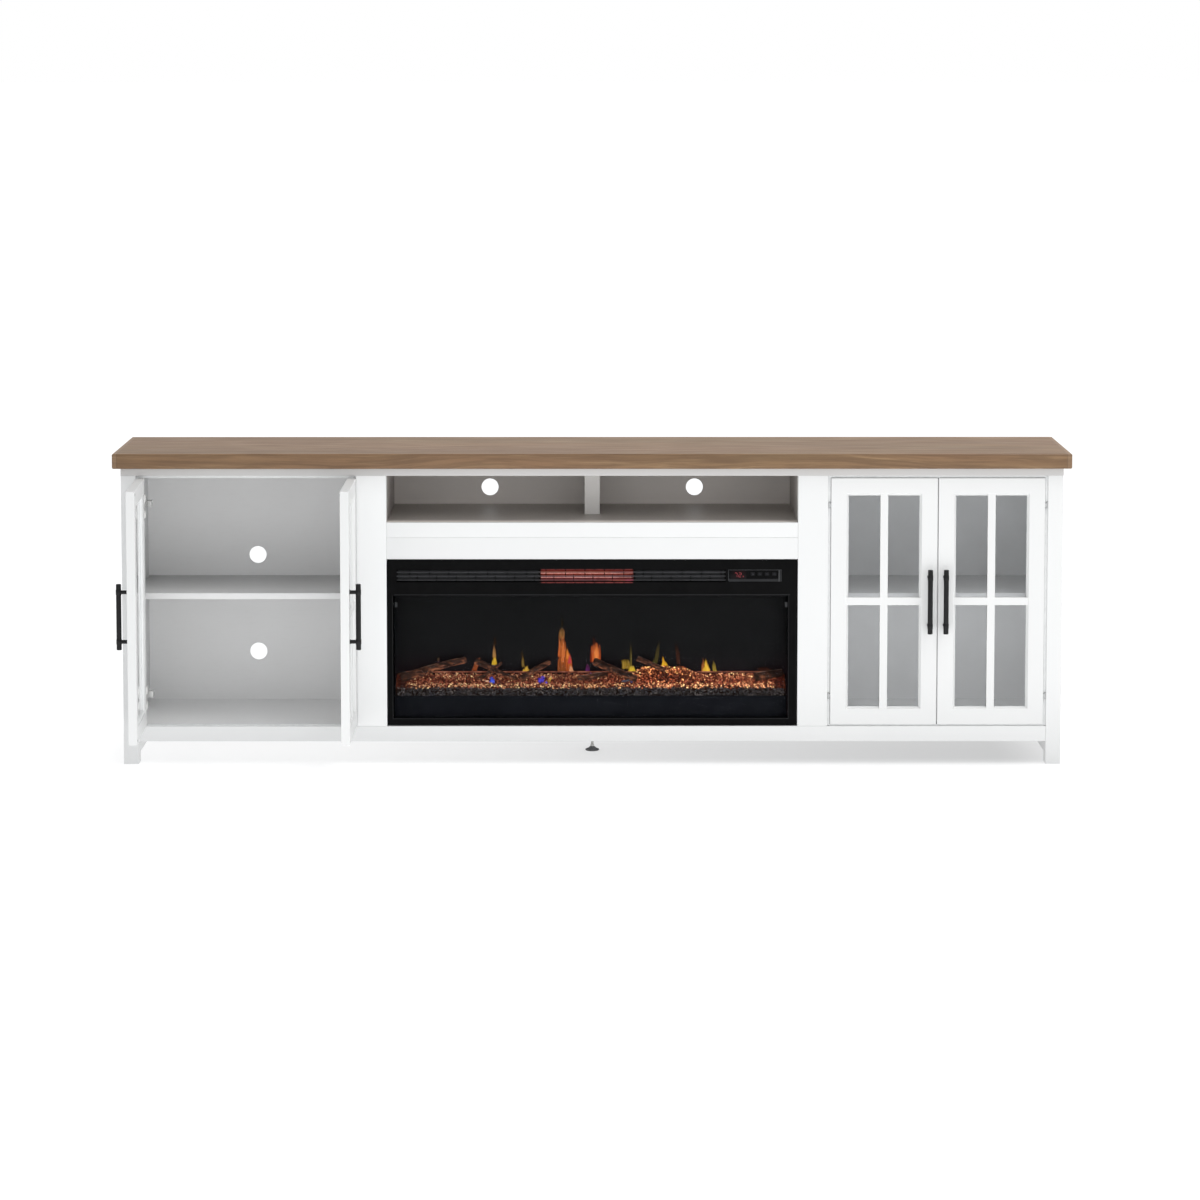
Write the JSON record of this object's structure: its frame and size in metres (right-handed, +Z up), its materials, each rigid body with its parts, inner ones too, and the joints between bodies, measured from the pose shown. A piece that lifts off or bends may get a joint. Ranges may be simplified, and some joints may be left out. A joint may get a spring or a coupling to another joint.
{
  "type": "fireplace tv stand",
  "caption": "Long low media cabinet with a wood-look top, white body, glazed doors at both ends and an open media bay over an electric fireplace insert.",
  "frame": {"origin": "on the floor under the middle of the top, at the underside of the centre levelling foot", "axes": "+X to the right along the length as the front is looked at, -Y out of the front, +Z up"},
  "size_m": [2.476, 0.6665, 0.8135],
  "materials": {
    "wood_top": "warm brown wood-grain laminate, satin, grain along the length",
    "white_paint": "smooth satin white paint on board",
    "door_paint": "smooth satin white paint on board, bevelled round the panes",
    "inner_board": "white board facing, satin",
    "door_glass": "clear float glass, slightly grey",
    "handle_black": "matte black powder coat",
    "hinge_nickel": "white nickel plate",
    "foot": "dark grey moulded glide on a threaded stem",
    "insert_steel": "black baked enamel, fine texture",
    "insert_glass": "smoked glass, glossy",
    "control_key": "gloss black key with a dim printed dot",
    "ember": "moulded resin embers and logs, lit from below",
    "flame_screen": "dark translucent screen that shows the flames",
    "quartz_heater": "glowing quartz tubes in ceramic holders",
    "alloy": "bare bright sheet"
  },
  "bodies": {
    "cabinet": {"top_slab": "wood_top", "sub_top": "white_paint", "left_end_panel": "white_paint", "right_end_panel": "white_paint", "left_leg_stile": "white_paint", "right_leg_stile": "white_paint", "left_centre_stile": "white_paint", "right_centre_stile": "white_paint", "bottom_rail": "white_paint", "media_shelf": "white_paint", "lintel_rail": "white_paint", "left_partition": "inner_board", "right_partition": "inner_board", "left_shelf": "inner_board", "right_shelf": "inner_board", "bottom_deck": "inner_board", "media_divider": "inner_board", "back_panel": "inner_board", "front_bezel": "insert_steel", "heater_grille": "insert_steel", "firebox_housing": "insert_steel", "front_glass": "insert_glass", "ember_bed": "ember", "flame_screen": "flame_screen", "heater_element": "quartz_heater", "left_outer_top_hinge_arm": "hinge_nickel", "left_outer_bottom_hinge_arm": "hinge_nickel", "left_inner_top_hinge_arm": "hinge_nickel", "left_inner_bottom_hinge_arm": "hinge_nickel", "right_inner_top_hinge_arm": "hinge_nickel", "right_inner_bottom_hinge_arm": "hinge_nickel", "right_outer_top_hinge_arm": "hinge_nickel", "right_outer_bottom_hinge_arm": "hinge_nickel"},
    "left_outer_door": {"left_outer_door_frame": "door_paint", "left_outer_door_glass": "door_glass", "left_outer_door_handle": "handle_black", "left_outer_top_hinge_cup": "hinge_nickel", "left_outer_bottom_hinge_cup": "hinge_nickel"},
    "left_inner_door": {"left_inner_door_frame": "door_paint", "left_inner_door_glass": "door_glass", "left_inner_door_handle": "handle_black", "left_inner_top_hinge_cup": "hinge_nickel", "left_inner_bottom_hinge_cup": "hinge_nickel"},
    "right_inner_door": {"right_inner_door_frame": "door_paint", "right_inner_door_glass": "door_glass", "right_inner_door_handle": "handle_black", "right_inner_top_hinge_cup": "hinge_nickel", "right_inner_bottom_hinge_cup": "hinge_nickel"},
    "right_outer_door": {"right_outer_door_frame": "door_paint", "right_outer_door_glass": "door_glass", "right_outer_door_handle": "handle_black", "right_outer_top_hinge_cup": "hinge_nickel", "right_outer_bottom_hinge_cup": "hinge_nickel"},
    "levelling_foot": {"levelling_foot": "foot"},
    "control_key_1": {"control_key_1": "control_key"},
    "control_key_2": {"control_key_2": "control_key"},
    "control_key_3": {"control_key_3": "control_key"},
    "control_key_4": {"control_key_4": "control_key"},
    "flame_rotor": {"flame_rotor": "alloy"},
    "blower_wheel": {"blower_wheel": "alloy"}
  },
  "joints": [
    {"name": "left_outer_door_hinge", "type": "hinge", "parent": "cabinet", "child": "left_outer_door", "pos_m": [-1.176, -0.1835, 0.4265], "axis": [0, 0, 1], "range_deg": [-22, 88]},
    {"name": "left_inner_door_hinge", "type": "hinge", "parent": "cabinet", "child": "left_inner_door", "pos_m": [-0.613, -0.1835, 0.4265], "axis": [0, 0, 1], "range_deg": [-90, 20]},
    {"name": "right_inner_door_hinge", "type": "hinge", "parent": "cabinet", "child": "right_inner_door", "pos_m": [0.613, -0.1835, 0.4265], "axis": [0, 0, 1], "range_deg": [-110, 0]},
    {"name": "right_outer_door_hinge", "type": "hinge", "parent": "cabinet", "child": "right_outer_door", "pos_m": [1.176, -0.1835, 0.4265], "axis": [0, 0, 1], "range_deg": [0, 110]},
    {"name": "levelling_foot_screw", "type": "slide", "parent": "cabinet", "child": "levelling_foot", "axis": [0, 0, 1], "range_m": [0, 0.01]},
    {"name": "control_key_1_press", "type": "slide", "parent": "cabinet", "child": "control_key_1", "axis": [0, 1, 0], "range_m": [0, 0.0008], "stiffness_N_per_m": 1000},
    {"name": "control_key_2_press", "type": "slide", "parent": "cabinet", "child": "control_key_2", "axis": [0, 1, 0], "range_m": [0, 0.0008], "stiffness_N_per_m": 1000},
    {"name": "control_key_3_press", "type": "slide", "parent": "cabinet", "child": "control_key_3", "axis": [0, 1, 0], "range_m": [0, 0.0008], "stiffness_N_per_m": 1000},
    {"name": "control_key_4_press", "type": "slide", "parent": "cabinet", "child": "control_key_4", "axis": [0, 1, 0], "range_m": [0, 0.0008], "stiffness_N_per_m": 1000},
    {"name": "flame_rotor_spin", "type": "hinge", "parent": "cabinet", "child": "flame_rotor", "pos_m": [0, -0.036, 0.2], "axis": [1, 0, 0], "continuous": true},
    {"name": "blower_wheel_spin", "type": "hinge", "parent": "cabinet", "child": "blower_wheel", "pos_m": [0, -0.076, 0.489], "axis": [1, 0, 0], "continuous": true}
  ]
}
